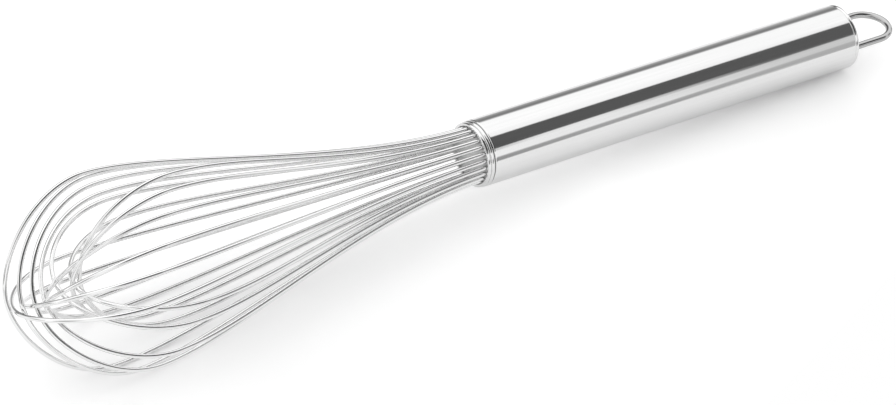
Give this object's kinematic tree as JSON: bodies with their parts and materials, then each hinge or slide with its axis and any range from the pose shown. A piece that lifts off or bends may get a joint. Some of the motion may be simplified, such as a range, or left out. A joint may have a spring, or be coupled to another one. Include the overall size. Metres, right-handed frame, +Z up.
{
  "type": "balloon whisk",
  "caption": "Stainless balloon whisk: nested wire loops set in a round tubular handle with a rounded mouth ferrule, a crowned end cap and a wire hanging loop.",
  "frame": {"origin": "middle of the footprint, on the table on which the whisk lies", "axes": "+X from the wire cage to the hanging loop, +Z up from the table; the handle's axis tips down by about 3.6 degrees towards +X"},
  "size_m": [0.3532, 0.0642, 0.0646],
  "materials": {
    "handle_steel": "bright steel with fine lengthwise brushing",
    "wire_steel": "bright drawn stainless wire",
    "core_nylon": "grey moulded nylon",
    "seal_resin": "cast epoxy"
  },
  "bodies": {
    "root": {"handle_tube": "handle_steel", "mouth_ferrule": "handle_steel", "end_cap": "handle_steel", "hanging_loop": "wire_steel", "wire_loop_01": "wire_steel", "wire_loop_02": "wire_steel", "wire_loop_03": "wire_steel", "wire_loop_04": "wire_steel", "wire_loop_05": "wire_steel", "wire_loop_06": "wire_steel", "wire_loop_07": "wire_steel", "wire_loop_08": "wire_steel", "wire_loop_09": "wire_steel", "wire_loop_10": "wire_steel", "wire_loop_11": "wire_steel", "wire_loop_12": "wire_steel", "wire_core": "core_nylon", "resin_seal": "seal_resin"}
  },
  "joints": []
}
